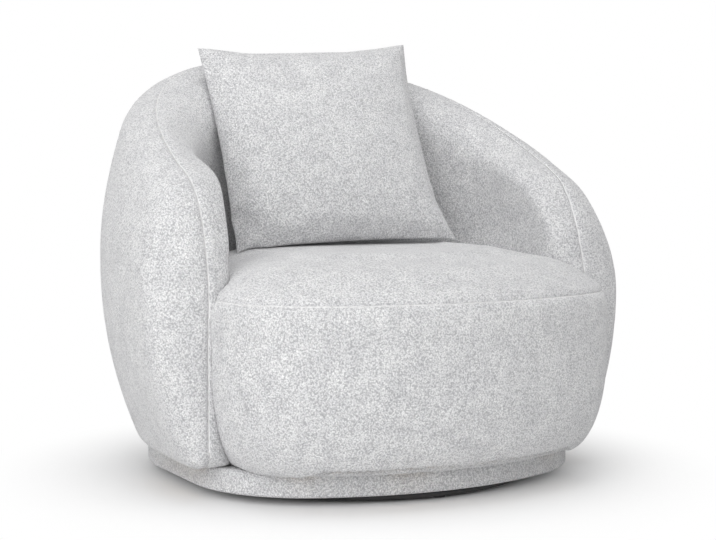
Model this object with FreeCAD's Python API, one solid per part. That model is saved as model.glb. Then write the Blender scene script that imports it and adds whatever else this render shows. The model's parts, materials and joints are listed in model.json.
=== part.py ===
import FreeCAD, Part
import math
import os

# Swivel tub chair, millimetres. +Z up, +X to the sitter's left, the front faces -Y.
# The origin lies on the floor on the swivel axis.

os.makedirs("parts", exist_ok=True)

Vector = FreeCAD.Vector
UP = Vector(0, 0, 1)

# Clearances
RUN_GAP = 0.3          # between pieces that move past each other
FIT_GAP = 0.2          # between pieces that are assembled and stay put
SOFT_GAP = 0.4         # between foam or fabric and what it lies against
BALL_PLAY = 0.12       # between a ball and each race
TOOL_OVER = 20.0       # how far a cutting shape runs past the face it cuts
TOOL_SPAN = 1400.0     # wider and higher than the whole chair, for cutting shapes
SMALLEST_ROUND = 0.45  # share of a corner radius that stays when an outline is drawn in

# Swivel base: flat steel ring on a cross, standing on glides
RING_R = 320.0
RING_WIDTH = 42.0
RING_T = 8.0
RING_EDGE = 1.5        # rounded arris of the ring
SPOKE_W = 40.0
SPOKE_COUNT = 4
HUB_R = 92.0
GLIDE_R = 11.0
GLIDE_H = 5.0
GLIDE_EDGE = 1.5
GLIDE_COUNT = 6
GLIDE_INSET = 20.0     # glide centre to the ring's outer edge
SCREW_R = 2.5

# Ball bearing between base and chair
PLATE_R = 140.0
PLATE_T = 4.0
RACE_R = 118.0
BALL_R = 6.0
BALL_COUNT = 12
GROOVE_DEPTH = 2.0
CAGE_T = 2.0
CAGE_HALF_W = 9.0
PIN_R = 8.0
PIN_FLANGE_R = 18.0
PIN_FLANGE_T = 3.0
WASHER_R = 17.0
WASHER_T = 2.0
NUT_ACROSS_FLATS = 24.0
NUT_T = 10.0
PIN_END = 2.0          # pin above its nut
BOLT_R = 4.0
BOLT_HEAD_R = 8.0
BOLT_HEAD_T = 3.5
BOLT_COUNT = 4
LOWER_BOLT_R = 62.0    # bolt circle radius of the lower plate
UPPER_BOLT_R = 88.0    # bolt circle radius of the upper plate
TEE_R = 11.0
TEE_T = 1.5
TEE_BARREL_R = 5.5
TEE_BARREL_H = 10.0

# Plinth: the low upholstered drum that hides the bearing
SWIVEL_GAP = 3.0       # plinth underside above the steel ring
BLOCK_R = 165.0
BLOCK_T = 16.0
NUT_ROOM_R = 32.0
PLINTH_BOARD_T = 12.0
PLINTH_HALF_W = 357.0
PLINTH_FRONT = 336.0
PLINTH_FRONT_R = 560.0
PLINTH_CORNER_R = 214.0
PLINTH_BACK = 356.0
PLINTH_BACK_R = 480.0
PLINTH_BACK_CORNER_R = 240.0
PLINTH_PAD_T = 6.0
PLINTH_FRAME_W = 20.0
PLINTH_EDGE_R = 6.0
STAPLE_FLAP = 46.0     # how far the plinth fabric turns in over and under the board
DUST_T = 1.0
BOARD_POINTS = 40      # points of the body board's curved edge

# Fabric and boards
FABRIC_T = 2.5
BODY_BOARD_T = 15.0

# Back and arms: one wrapped shell, drawn from a plan line and upright sections
SHELL_HALF_W = 381.0   # plan line of the shell, widest half width
SHELL_MID_Y = -85.0    # where the plan line is widest
SHELL_BACK = 425.0     # from the widest place to the back of the plan line
SHELL_FRONT = 454.0    # front half axis of the plan line
SHELL_SQUARE = 2.45    # exponent of the plan line, 2 would be an ellipse
NOSE_Y = -206.0        # where the arms end
OUTER_W = 88.0         # plan line to the widest outer face
ARM_INNER_W = 66.0     # plan line to the inner face, at the arms
BACK_INNER_W = 112.0   # plan line to the inner face, at the middle of the back
SEAM_W = -14.0         # plan line to the top seam
WIDEST_Z = 382.0
WIDEST_RISE = 60.0     # widest place over the middle of the section, at the arm ends
TUCK = 71.0            # how far the outer face draws in at the bottom
SHOULDER_R = 70.0      # outer rounding of the rim
FOOT_R = 32.0          # outer rounding of the bottom edge
BACK_H = 758.0
RIM_SLOPE = 0.5        # fall of the rim from back to front
NOSE_LEN = 68.0        # length over which the arm end rounds off
BROW_LEN = 98.0        # length over which the rim rolls down to the arm end
BROW_DROP = 223.0
TOE_LEN = 46.0         # length over which the arm end rounds up from the plinth
TOE_RISE = 38.0
NOSE_START = 5.0       # degrees of the arm end's rounding where the first section lies
NOSE_STEPS = 7
SHELL_STEPS = 11
WALK_STEPS = 1200

# Timber frame inside the shell
FRAME_INNER_W = 46.0   # plan line to the inner side of the frame
FRAME_OUTER_W = 4.0    # outer side of the frame, inside the plan line
FRAME_TOP_GAP = 62.0   # frame top below the rim
TOP_RAIL_H = 24.0
UPRIGHT_T = 22.0
UPRIGHT_COUNT = 9
FRAME_START = 84.0     # from the arm end to the frame, along the plan line
HARDBOARD_T = 3.0
STRAP_W = 50.0
STRAP_T = 1.6

# Seat block
SEAT_HALF_W = 369.0
SEAT_FRONT = 428.0
SEAT_FRONT_R = 632.0
SEAT_CORNER_R = 178.0
SEAT_BACK = 330.0
SEAT_BACK_R = 460.0
SEAT_BACK_CORNER_R = 250.0
SEAT_SEAM_Z = 336.0
SEAT_TOP_Z = 407.0
SEAT_WIDEST_Z = 220.0
SEAT_TUCK = 54.0
SEAT_WIDE_TOP_Z = 308.0      # where the side starts to roll over into the crown
SEAT_CROWN_W = 225.0
SEAT_CROWN_END = 84.0        # degrees of the crown's roll, the rest of the top is level
SEAT_ROLL_END = 78.0         # degrees of the roll under the seat
SEAT_STEPS = 6
# Seat frame
RAIL_T = 22.0
RAIL_HALF_W = 292.0
RAIL_FRONT = 384.0
RAIL_FRONT_R = 590.0
RAIL_CORNER_R = 130.0
RAIL_BACK = 140.0
RAIL_BACK_R = 500.0
RAIL_BACK_CORNER_R = 200.0
RAIL_TOP_Z = 248.0
RAIL_FRONT_JOINT = -215.0    # where the curved front rail meets the side rails
RAIL_BACK_JOINT = 20.0
BLOCK_LEG = 70.0             # corner block along the side rail
BLOCK_SHORT_LEG = 42.0       # and across the corner
BLOCK_H = 105.0
FELT_T = 3.0
SEAT_STRAP_W = 60.0
STRAP_INSET = 2.0            # strap ends inside the rail's outer face
LONG_STRAPS = 5
CROSS_STRAPS = 4

# Scatter cushion
CUSHION_EDGE = 440.0
CUSHION_DRAW = 24.0    # how far the seams draw in between the corners
CUSHION_HALF_T = 62.0
CUSHION_POS = Vector(-7, 115.5, 608.4)
CUSHION_LEAN = 26.4
CUSHION_TURN = -6.4
CUSHION_ROLL = 2.7
CUSHION_STEPS = 7
CUSHION_CROWN_END = 82.0     # degrees of the crown's roll
CUSHION_FULLNESS = 0.9       # below 1 the sides stand steeper
CUSHION_CORNER_FADE = 0.8    # below 1 the points die out nearer the seam
CUSHION_CORNER_SHARE = 0.74  # corner of the crown, as a share of its half width
ZIP_LEN = 340.0
ZIP_W = 5.0
ZIP_T = 2.0
ZIP_INSET = 3.0

# Heights that follow from the stack
RING_Z = GLIDE_H
RING_TOP = RING_Z + RING_T
PLATE_GAP = 2 * (BALL_R + BALL_PLAY - GROOVE_DEPTH)
LOWER_PLATE_TOP = RING_TOP + PLATE_T
UPPER_PLATE_Z = LOWER_PLATE_TOP + PLATE_GAP
UPPER_PLATE_TOP = UPPER_PLATE_Z + PLATE_T
BALL_Z = LOWER_PLATE_TOP - GROOVE_DEPTH + BALL_PLAY + BALL_R
PLINTH_Z = RING_TOP + SWIVEL_GAP
PLINTH_BOARD_Z = UPPER_PLATE_TOP + BLOCK_T
PLINTH_TOP = PLINTH_BOARD_Z + PLINTH_BOARD_T
BODY_BOARD_TOP = PLINTH_TOP + BODY_BOARD_T
SKIN_TOP = PLINTH_TOP - FABRIC_T


def export(shape, node):
    """Write one piece, or one group of equal pieces."""
    if not shape.isValid():
        print("INVALID", node)
    shape.exportStep("parts/%s.step" % node)


def arc(a, b, c):
    return Part.Arc(a, b, c).toShape()


def line(a, b):
    return Part.LineSegment(a, b).toShape()


def disc(radius, z, height):
    return Part.makeCylinder(radius, height, Vector(0, 0, z))


def ring(outer, inner, z, height):
    return disc(outer, z, height).cut(disc(inner, z - TOOL_OVER, height + 2 * TOOL_OVER))


def around(radius, count, start=0.0):
    """Points spread evenly on a circle about the swivel axis, with their angles."""
    places = []
    for i in range(count):
        angle = start + 360.0 * i / count
        rad = math.radians(angle)
        places.append((Vector(radius * math.cos(rad), radius * math.sin(rad), 0), angle))
    return places


def group(solids):
    return Part.makeCompound(solids)


def largest(shape):
    """The main solid of a cut, without its slivers."""
    return max(shape.Solids, key=lambda solid: solid.Volume)


# Rounded D in plan: a wide front arc, two corners, straight sides and a round back.
# Every corner arc is tangent to its neighbours.

def corner_end(half_w, end, end_r, corner_r):
    """Corner circle centre and its touching point on an end arc that reaches out to end."""
    centre_x = half_w - corner_r
    end_centre = end - end_r
    reach = end_r - corner_r
    centre_y = end_centre + math.sqrt(reach * reach - centre_x * centre_x)
    scale = end_r / reach
    touch = (centre_x * scale, end_centre + (centre_y - end_centre) * scale)
    return (centre_x, centre_y), touch


def arc_middle(centre, radius, a, b):
    """Middle of the short arc from a to b about centre."""
    mx = (a[0] + b[0]) / 2 - centre[0]
    my = (a[1] + b[1]) / 2 - centre[1]
    scale = radius / math.hypot(mx, my)
    return (centre[0] + mx * scale, centre[1] + my * scale)


def d_wire(plan, inset, z):
    """Closed D outline, drawn in by inset, at height z."""
    half_w, front, front_r, corner_r, back, back_r, back_corner_r = plan
    hw = half_w - inset
    small_front = max(corner_r - inset, SMALLEST_ROUND * corner_r)
    small_back = max(back_corner_r - inset, SMALLEST_ROUND * back_corner_r)
    fc, ft = corner_end(hw, front - inset, front_r - inset, small_front)
    bc, bt = corner_end(hw, back - inset, back_r - inset, small_back)

    def at(x, y):
        return Vector(x, y, z)

    fm = arc_middle(fc, small_front, ft, (hw, fc[1]))
    bm = arc_middle(bc, small_back, bt, (hw, bc[1]))
    edges = [
        arc(at(-ft[0], -ft[1]), at(0, -(front - inset)), at(ft[0], -ft[1])),
        arc(at(ft[0], -ft[1]), at(fm[0], -fm[1]), at(hw, -fc[1])),
        line(at(hw, -fc[1]), at(hw, bc[1])),
        arc(at(hw, bc[1]), at(bm[0], bm[1]), at(bt[0], bt[1])),
        arc(at(bt[0], bt[1]), at(0, back - inset), at(-bt[0], bt[1])),
        arc(at(-bt[0], bt[1]), at(-bm[0], bm[1]), at(-hw, bc[1])),
        line(at(-hw, bc[1]), at(-hw, -fc[1])),
        arc(at(-hw, -fc[1]), at(-fm[0], -fm[1]), at(-ft[0], -ft[1])),
    ]
    return Part.Wire(edges)


def d_prism(plan, inset, z, height):
    return Part.Face(d_wire(plan, inset, z)).extrude(UP * height)


def d_band(plan, outer_inset, inner_inset, z, height):
    inner = d_prism(plan, inner_inset, z - TOOL_OVER, height + 2 * TOOL_OVER)
    return d_prism(plan, outer_inset, z, height).cut(inner)


PLINTH = (PLINTH_HALF_W, PLINTH_FRONT, PLINTH_FRONT_R, PLINTH_CORNER_R,
          PLINTH_BACK, PLINTH_BACK_R, PLINTH_BACK_CORNER_R)
SEAT = (SEAT_HALF_W, SEAT_FRONT, SEAT_FRONT_R, SEAT_CORNER_R,
        SEAT_BACK, SEAT_BACK_R, SEAT_BACK_CORNER_R)
RAIL = (RAIL_HALF_W, RAIL_FRONT, RAIL_FRONT_R, RAIL_CORNER_R,
        RAIL_BACK, RAIL_BACK_R, RAIL_BACK_CORNER_R)


# Plan line of the shell: a superellipse, walked by its length from the right arm's end
# round the back to the left arm's end.

def plan_point(angle):
    """Point of the plan line at an angle from the widest place, backwards positive."""
    power = 2.0 / SHELL_SQUARE
    depth = SHELL_BACK if angle >= 0 else SHELL_FRONT
    x = SHELL_HALF_W * abs(math.cos(angle)) ** power
    y = SHELL_MID_Y + math.copysign(depth * abs(math.sin(angle)) ** power, angle)
    return x, y


def walk_plan():
    """Lengths along the right half of the plan line, from arm end to middle of the back."""
    share = (SHELL_MID_Y - NOSE_Y) / SHELL_FRONT
    start = -math.asin(share ** (SHELL_SQUARE / 2.0))
    table = []
    length = 0.0
    last = plan_point(start)
    for i in range(WALK_STEPS + 1):
        angle = start + (math.pi / 2 - start) * i / WALK_STEPS
        point = plan_point(angle)
        length += math.hypot(point[0] - last[0], point[1] - last[1])
        table.append((length, point[0], point[1]))
        last = point
    return table


WALK = walk_plan()
HALF_LEN = WALK[-1][0]
FULL_LEN = 2 * HALF_LEN


def plan_at(s):
    """Place and outward direction at length s from the right arm's end."""
    mirrored = s > HALF_LEN
    t = FULL_LEN - s if mirrored else s
    low, high = 0, len(WALK) - 1
    while high - low > 1:
        middle = (low + high) // 2
        if WALK[middle][0] <= t:
            low = middle
        else:
            high = middle
    before, after = WALK[low], WALK[high]
    part = (t - before[0]) / max(after[0] - before[0], 1e-9)
    x = before[1] + (after[1] - before[1]) * part
    y = before[2] + (after[2] - before[2]) * part
    first, last = WALK[max(low - 4, 0)], WALK[min(high + 4, len(WALK) - 1)]
    dx, dy = last[1] - first[1], last[2] - first[2]
    if t > HALF_LEN - 1e-6:
        dx, dy = -1.0, 0.0
    size = math.hypot(dx, dy)
    nx, ny = dy / size, -dx / size
    if mirrored:
        return -x, y, -nx, ny
    return x, y, nx, ny


def quarter(t):
    """Rise of a quarter circle, 0 to 1."""
    t = min(max(t, 0.0), 1.0)
    return math.sqrt(1 - (1 - t) ** 2)


def from_end(s):
    return min(s, FULL_LEN - s)


def rim_height(s):
    y = plan_at(s)[1]
    slope_fall = RIM_SLOPE * (SHELL_MID_Y + SHELL_BACK - y)
    return BACK_H - slope_fall - BROW_DROP * (1 - quarter(from_end(s) / BROW_LEN))


def inner_width(s):
    """Padding inside the plan line, thicker at the back than at the arms."""
    y = plan_at(s)[1]
    share = max(0.0, (y - SHELL_MID_Y) / SHELL_BACK)
    return ARM_INNER_W + (BACK_INNER_W - ARM_INNER_W) * share * share * (3 - 2 * share)


def shell_points(s, inset):
    """Named points of the upright section at s, as (outward, height) pairs. The arm ends
    round off as a quarter ellipse, and a form drawn in by inset has that much less of it."""
    k = quarter((from_end(s) - inset) / (NOSE_LEN - inset))
    top = rim_height(s) - inset
    foot = PLINTH_TOP + SOFT_GAP + TOE_RISE * (1 - quarter(from_end(s) / TOE_LEN)) + inset
    outer = (OUTER_W - inset) * k
    inner = -(inner_width(s) - inset) * k
    seam = SEAM_W * k
    wide = min(WIDEST_Z, (top + foot) / 2 + WIDEST_RISE)
    tuck = TUCK * k
    foot_r = max(FOOT_R - inset, SMALLEST_ROUND * FOOT_R) * k
    rim_r = max(SHOULDER_R - inset, SMALLEST_ROUND * SHOULDER_R) * k

    # Lower outer face: one arc, upright at the widest place, drawn in by the tuck below
    fall = wide - foot
    low_r = (fall * fall + tuck * tuck) / (2 * tuck)
    low_x = outer - low_r
    corner_x = low_x + math.sqrt((low_r - foot_r) ** 2 - (fall - foot_r) ** 2)
    corner_z = foot + foot_r
    away = math.hypot(corner_x - low_x, corner_z - wide)
    toe = (low_x + (corner_x - low_x) * low_r / away, wide + (corner_z - wide) * low_r / away)
    sole = (corner_x, foot)

    # Upper outer face: one arc from the widest place, then the rim's shoulder
    reach = outer - seam
    rise = top - rim_r - wide
    high_r = (rise * rise + reach * reach - rim_r * rim_r) / (2 * (reach - rim_r))
    high_x = outer - high_r
    away = math.hypot(seam - high_x, rise)
    shoulder = (high_x + (seam - high_x) * high_r / away, wide + rise * high_r / away)

    lip_r = seam - inner
    return {
        "under": (seam, foot), "sole": sole, "toe": toe, "wide": (outer, wide),
        "shoulder": shoulder, "seam": (seam, top),
        "lip": (inner, top - lip_r), "heel": (inner, foot),
        "sole_mid": arc_middle((corner_x, corner_z), foot_r, sole, toe),
        "low_mid": arc_middle((low_x, wide), low_r, toe, (outer, wide)),
        "high_mid": arc_middle((high_x, wide), high_r, (outer, wide), shoulder),
        "shoulder_mid": arc_middle((seam, top - rim_r), rim_r, shoulder, (seam, top)),
        "lip_mid": arc_middle((seam, top - lip_r), lip_r, (seam, top), (inner, top - lip_r)),
    }


def placer(s, inset):
    """Function that gives the named section point in space."""
    x, y, nx, ny = plan_at(s)
    points = shell_points(s, inset)

    def at(name):
        w, z = points[name]
        return Vector(x + nx * w, y + ny * w, z)

    return at


def outer_edges(at):
    return [line(at("under"), at("sole")),
            arc(at("sole"), at("sole_mid"), at("toe")),
            arc(at("toe"), at("low_mid"), at("wide")),
            arc(at("wide"), at("high_mid"), at("shoulder")),
            arc(at("shoulder"), at("shoulder_mid"), at("seam"))]


def inner_edges(at):
    return [arc(at("seam"), at("lip_mid"), at("lip")),
            line(at("lip"), at("heel")),
            line(at("heel"), at("under"))]


def shell_stations(inset):
    """Lengths of the sections, close together where the arm ends round off."""
    nose = []
    for i in range(NOSE_STEPS):
        angle = math.radians(NOSE_START + (90 - NOSE_START) * i / (NOSE_STEPS - 1))
        nose.append(inset + (NOSE_LEN - inset) * (1 - math.cos(angle)))
    steps = [NOSE_LEN + (HALF_LEN - NOSE_LEN) * i / SHELL_STEPS
             for i in range(1, SHELL_STEPS + 1)]
    half = nose + steps
    return half + [FULL_LEN - s for s in reversed(half[:-1])]


def loft(wires):
    return Part.makeLoft(wires, True, False)


def shell_solid(inset):
    """The whole shell as one closed form, drawn in by inset."""
    wires = []
    for s in shell_stations(inset):
        at = placer(s, inset)
        wires.append(Part.Wire(outer_edges(at) + inner_edges(at)))
    return loft(wires)


def shell_half(edges_of, first, last):
    """The outer or the inner half of the shell, divided below the top seam."""
    wires = []
    for s in shell_stations(0):
        at = placer(s, 0)
        wires.append(Part.Wire(edges_of(at) + [line(at(last), at(first))]))
    return loft(wires)


def upright_band(near, far, low, high, grow=0.0):
    """Curved wall along the plan line. near and far are distances inside it, low and high
    are heights, or functions of the length along it. grow lengthens it at both ends."""
    wires = []
    count = 2 * SHELL_STEPS
    start = FRAME_START - UPRIGHT_T / 2 - grow
    for i in range(count + 1):
        s = start + (FULL_LEN - 2 * start) * i / count
        x, y, nx, ny = plan_at(s)
        z0 = low(s) if callable(low) else low
        z1 = high(s) if callable(high) else high
        corners = [(-far, z0), (-near, z0), (-near, z1), (-far, z1), (-far, z0)]
        wires.append(Part.makePolygon([Vector(x + nx * w, y + ny * w, z) for w, z in corners]))
    return loft(wires)


def frame_top(s):
    return rim_height(s) - FRAME_TOP_GAP


# Swivel base

def make_base():
    steel = ring(RING_R, RING_R - RING_WIDTH, RING_Z, RING_T)
    rims = [e for e in steel.Edges if abs(e.BoundBox.XLength - 2 * RING_R) < 1]
    export(steel.makeFillet(RING_EDGE, rims), "base_ring")

    hub = disc(HUB_R, RING_Z, RING_T)
    for place, angle in around(0, SPOKE_COUNT, 45):
        spoke = Part.makeBox(RING_R, SPOKE_W, RING_T, Vector(0, -SPOKE_W / 2, RING_Z))
        spoke.rotate(Vector(0, 0, 0), UP, angle)
        hub = hub.fuse(spoke)
    hub = hub.common(disc(RING_R - RING_WIDTH, RING_Z, RING_T)).removeSplitter()
    for place, angle in around(LOWER_BOLT_R, BOLT_COUNT):
        hub = hub.cut(Part.makeCylinder(BOLT_R + FIT_GAP, RING_TOP + TOOL_OVER, place))
    export(hub, "base_cross")

    glides = []
    screws = []
    for place, angle in around(RING_R - GLIDE_INSET, GLIDE_COUNT, -90):
        pad = Part.makeCylinder(GLIDE_R, GLIDE_H, place)
        pad = pad.makeFillet(GLIDE_EDGE, [e for e in pad.Edges if e.BoundBox.ZMax < 0.1])
        bore = Part.makeCylinder(SCREW_R, GLIDE_H, place + UP * (GLIDE_H / 2))
        glides.append(pad.cut(bore))
        head = Part.makeCylinder(SCREW_R - FIT_GAP, GLIDE_H / 2, place + UP * (GLIDE_H / 2))
        screws.append(head)
    export(group(glides), "floor_glides")
    export(group(screws), "glide_screws")


def race_plate(z, groove_z):
    plate = ring(PLATE_R, PIN_R + FIT_GAP, z, PLATE_T)
    groove = Part.makeTorus(RACE_R, BALL_R + BALL_PLAY, Vector(0, 0, groove_z))
    return plate.cut(groove)


def make_bearing():
    lower = race_plate(RING_TOP, BALL_Z)
    bolts = []
    for place, angle in around(LOWER_BOLT_R, BOLT_COUNT):
        lower = lower.cut(Part.makeCylinder(BOLT_R + FIT_GAP, RING_TOP + TOOL_OVER, place))
        head = Part.makeCylinder(BOLT_HEAD_R, BOLT_HEAD_T, place + UP * LOWER_PLATE_TOP)
        shank = Part.makeCylinder(BOLT_R, PLATE_T + RING_T, place + UP * RING_Z)
        bolts.append(head.fuse(shank))
    export(lower, "lower_bearing_plate")
    export(group(bolts), "lower_plate_bolts")

    balls = [Part.makeSphere(BALL_R, place + UP * BALL_Z) for place, angle in around(RACE_R, BALL_COUNT)]
    export(group(balls), "bearing_balls")
    cage = ring(RACE_R + CAGE_HALF_W, RACE_R - CAGE_HALF_W, BALL_Z - CAGE_T / 2, CAGE_T)
    for place, angle in around(RACE_R, BALL_COUNT):
        cage = cage.cut(Part.makeCylinder(BALL_R + BALL_PLAY, TOOL_OVER, place + UP * (BALL_Z - CAGE_T)))
    export(cage, "ball_cage")

    pin_top = UPPER_PLATE_TOP + RUN_GAP + WASHER_T + NUT_T + PIN_END
    pin = disc(PIN_R, RING_TOP, pin_top - RING_TOP)
    pin = pin.fuse(disc(PIN_FLANGE_R, LOWER_PLATE_TOP, PIN_FLANGE_T)).removeSplitter()
    export(pin, "centre_pin")
    washer_z = UPPER_PLATE_TOP + RUN_GAP
    export(ring(WASHER_R, PIN_R + FIT_GAP, washer_z, WASHER_T), "pin_washer")
    nut_z = washer_z + WASHER_T
    corner_r = NUT_ACROSS_FLATS / math.sqrt(3)
    corners = [p + UP * nut_z for p, angle in around(corner_r, 6)]
    nut = Part.Face(Part.makePolygon(corners + corners[:1])).extrude(UP * NUT_T)
    nut = nut.cut(disc(PIN_R, nut_z - TOOL_OVER, NUT_T + 2 * TOOL_OVER))
    export(nut, "lock_nut")


# Everything above the bearing turns with the seat

def upper_bolt_holes(shape, radius):
    for place, angle in around(UPPER_BOLT_R, BOLT_COUNT, 45):
        shape = shape.cut(Part.makeCylinder(radius, BODY_BOARD_TOP + TOOL_OVER, place))
    return shape


def make_plinth(body_board):
    upper = race_plate(UPPER_PLATE_Z, BALL_Z)
    upper = upper.cut(disc(PIN_R + RUN_GAP, UPPER_PLATE_Z - TOOL_OVER, PLATE_T + 2 * TOOL_OVER))
    export(upper_bolt_holes(upper, BOLT_R + FIT_GAP), "upper_bearing_plate")

    block = ring(BLOCK_R, NUT_ROOM_R, UPPER_PLATE_TOP, BLOCK_T)
    export(upper_bolt_holes(block, BOLT_R + FIT_GAP), "swivel_block")

    timber = FABRIC_T + PLINTH_PAD_T
    board = d_prism(PLINTH, timber, PLINTH_BOARD_Z, PLINTH_BOARD_T - FABRIC_T)
    board = board.fuse(d_prism(PLINTH, STAPLE_FLAP, SKIN_TOP, FABRIC_T)).removeSplitter()
    export(upper_bolt_holes(board, BOLT_R + FIT_GAP), "plinth_board")

    low = PLINTH_Z + FABRIC_T
    frame = d_band(PLINTH, timber, timber + PLINTH_FRAME_W, low, PLINTH_BOARD_Z - low)
    export(frame, "plinth_frame")
    pad = d_band(PLINTH, FABRIC_T, timber, low, SKIN_TOP - low)
    export(pad, "plinth_padding")

    skin = d_prism(PLINTH, 0, PLINTH_Z, PLINTH_TOP - PLINTH_Z)
    edges = [e for e in skin.Edges if e.BoundBox.ZLength < 0.1]
    skin = skin.makeFillet(PLINTH_EDGE_R, edges)
    skin = skin.cut(d_prism(PLINTH, FABRIC_T, low, SKIN_TOP - low))
    skin = skin.cut(d_prism(PLINTH, STAPLE_FLAP, PLINTH_Z - TOOL_OVER, PLINTH_TOP + TOOL_OVER))
    export(skin, "plinth_cover")
    dust = d_prism(PLINTH, STAPLE_FLAP + FIT_GAP, PLINTH_Z + FABRIC_T - DUST_T, DUST_T)
    dust = dust.cut(disc(BLOCK_R, PLINTH_Z - TOOL_OVER, 2 * TOOL_OVER))
    export(dust, "dust_cover")

    bolts = []
    nuts = []
    for place, angle in around(UPPER_BOLT_R, BOLT_COUNT, 45):
        head = Part.makeCylinder(BOLT_HEAD_R, BOLT_HEAD_T, place + UP * (UPPER_PLATE_Z - BOLT_HEAD_T))
        shank = Part.makeCylinder(BOLT_R, BODY_BOARD_TOP - UPPER_PLATE_Z, place + UP * UPPER_PLATE_Z)
        bolts.append(head.fuse(shank))
        barrel_z = BODY_BOARD_TOP - TEE_BARREL_H
        tee = Part.makeCylinder(TEE_BARREL_R, TEE_BARREL_H + TEE_T, place + UP * barrel_z)
        tee = tee.fuse(Part.makeCylinder(TEE_R, TEE_T, place + UP * BODY_BOARD_TOP)).removeSplitter()
        nuts.append(tee.cut(Part.makeCylinder(BOLT_R, BODY_BOARD_TOP, place)))
        body_board = body_board.cut(Part.makeCylinder(TEE_BARREL_R, TOOL_OVER, place + UP * barrel_z))
    export(group(bolts), "upper_plate_bolts")
    export(group(nuts), "tee_nuts")
    export(upper_bolt_holes(body_board, BOLT_R + FIT_GAP), "body_board")


def board_outline(z):
    """Face of the board under seat and shell: inside of the plan line, and the seat's front."""
    points = []
    for i in range(BOARD_POINTS + 1):
        s = NOSE_LEN + (FULL_LEN - 2 * NOSE_LEN) * i / BOARD_POINTS
        x, y, nx, ny = plan_at(s)
        points.append(Vector(x - nx * FRAME_OUTER_W, y - ny * FRAME_OUTER_W, z))
    curve = Part.BSplineCurve()
    curve.interpolate(points)
    return Part.Face(Part.Wire([curve.toShape(), line(points[-1], points[0])]))


def board_prism(z, height):
    shell_part = board_outline(z).extrude(UP * height)
    seat_part = d_prism(SEAT, SEAT_TUCK + RAIL_T, z, height)
    return shell_part.fuse(seat_part).removeSplitter()


# Shell pieces

def make_shell(board_tool):
    board_near = FRAME_OUTER_W - HARDBOARD_T
    strap_far = FRAME_INNER_W + FIT_GAP + STRAP_T
    channel = upright_band(board_near - FIT_GAP, strap_far + FIT_GAP, BODY_BOARD_TOP - FIT_GAP,
                           lambda s: frame_top(s) + FIT_GAP, FIT_GAP)
    foam = shell_solid(FABRIC_T + SOFT_GAP).cut(channel).cut(board_tool)
    export(foam, "shell_foam")

    # The two covers meet along the top seam and down the arm ends
    inside = shell_solid(FABRIC_T)
    outer = shell_half(outer_edges, "under", "seam").cut(inside).cut(board_tool)
    export(largest(outer.cut(channel)), "outer_shell_cover")
    inner = shell_half(inner_edges, "seam", "under").cut(inside).cut(board_tool)
    export(largest(inner.cut(channel)), "inner_shell_cover")

    def rail_low(s):
        return frame_top(s) - TOP_RAIL_H

    rail = upright_band(FRAME_OUTER_W, FRAME_INNER_W, rail_low, frame_top)
    export(rail, "back_top_rail")
    board = upright_band(board_near, FRAME_OUTER_W - FIT_GAP, BODY_BOARD_TOP, frame_top)
    export(board, "outer_panel_board")
    timber = upright_band(FRAME_OUTER_W, FRAME_INNER_W, BODY_BOARD_TOP, rail_low)
    webbing = upright_band(FRAME_INNER_W + FIT_GAP, strap_far, BODY_BOARD_TOP, frame_top)

    posts = []
    straps = []
    pitch = (FULL_LEN - 2 * FRAME_START) / (UPRIGHT_COUNT - 1)
    for i in range(UPRIGHT_COUNT):
        s = FRAME_START + pitch * i
        posts.append(largest(timber.common(strip_across(s, UPRIGHT_T))))
        if i < UPRIGHT_COUNT - 1:
            straps.append(largest(webbing.common(strip_across(s + pitch / 2, STRAP_W))))
    export(group([posts[0], posts[-1]]), "arm_posts")
    export(group(posts[1:-1]), "back_uprights")
    export(group(straps), "back_straps")


def strip_across(s, along):
    """Upright cutting block square to the plan line at s, wide enough for frame and straps."""
    x, y, nx, ny = plan_at(s)
    depth = 2 * FRAME_INNER_W
    block = Part.makeBox(depth, along, TOOL_SPAN, Vector(-depth, -along / 2, 0))
    block.rotate(Vector(0, 0, 0), UP, math.degrees(math.atan2(ny, nx)))
    block.translate(Vector(x, y, 0))
    return block


# Seat pieces

def seat_quarter(height, depth, inset, degrees):
    """Height and draw of a point on a rounded edge of the seat block, moved in by inset."""
    t = math.radians(degrees)
    rise = math.sin(t) / height
    draw = math.cos(t) / depth
    size = math.hypot(rise, draw)
    return height * math.sin(t) - inset * rise / size, depth * (1 - math.cos(t)) + inset * draw / size


def seat_levels(inset):
    """Heights of the seat block's plan outlines, with how far each is drawn in. The lower
    edge rolls under and the upper edge rolls over into the crown, each as a quarter round."""
    levels = []
    last = math.radians(SEAT_ROLL_END)
    roll_h = (SEAT_WIDEST_Z - PLINTH_TOP) / math.sin(last)
    roll_d = SEAT_TUCK / (1 - math.cos(last))
    for i in range(SEAT_STEPS, 0, -1):
        z, draw = seat_quarter(roll_h, roll_d, inset, SEAT_ROLL_END * i / SEAT_STEPS)
        levels.append((SEAT_WIDEST_Z - z, draw))
    crown_h = SEAT_TOP_Z - SEAT_WIDE_TOP_Z
    levels.append((SEAT_WIDEST_Z, inset))
    levels.append(((SEAT_WIDEST_Z + SEAT_WIDE_TOP_Z) / 2, inset))
    for i in range(SEAT_STEPS + 1):
        z, draw = seat_quarter(crown_h, SEAT_CROWN_W, inset, SEAT_CROWN_END * i / SEAT_STEPS)
        levels.append((SEAT_WIDE_TOP_Z + z, draw))
    return levels


def seat_solid(inset):
    return loft([d_wire(SEAT, draw, z) for z, draw in seat_levels(inset)])


def slab_above(z):
    """Cutting block over the whole chair from height z up."""
    half = TOOL_SPAN / 2
    return Part.makeBox(TOOL_SPAN, TOOL_SPAN, TOOL_SPAN, Vector(-half, -half, z))


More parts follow.
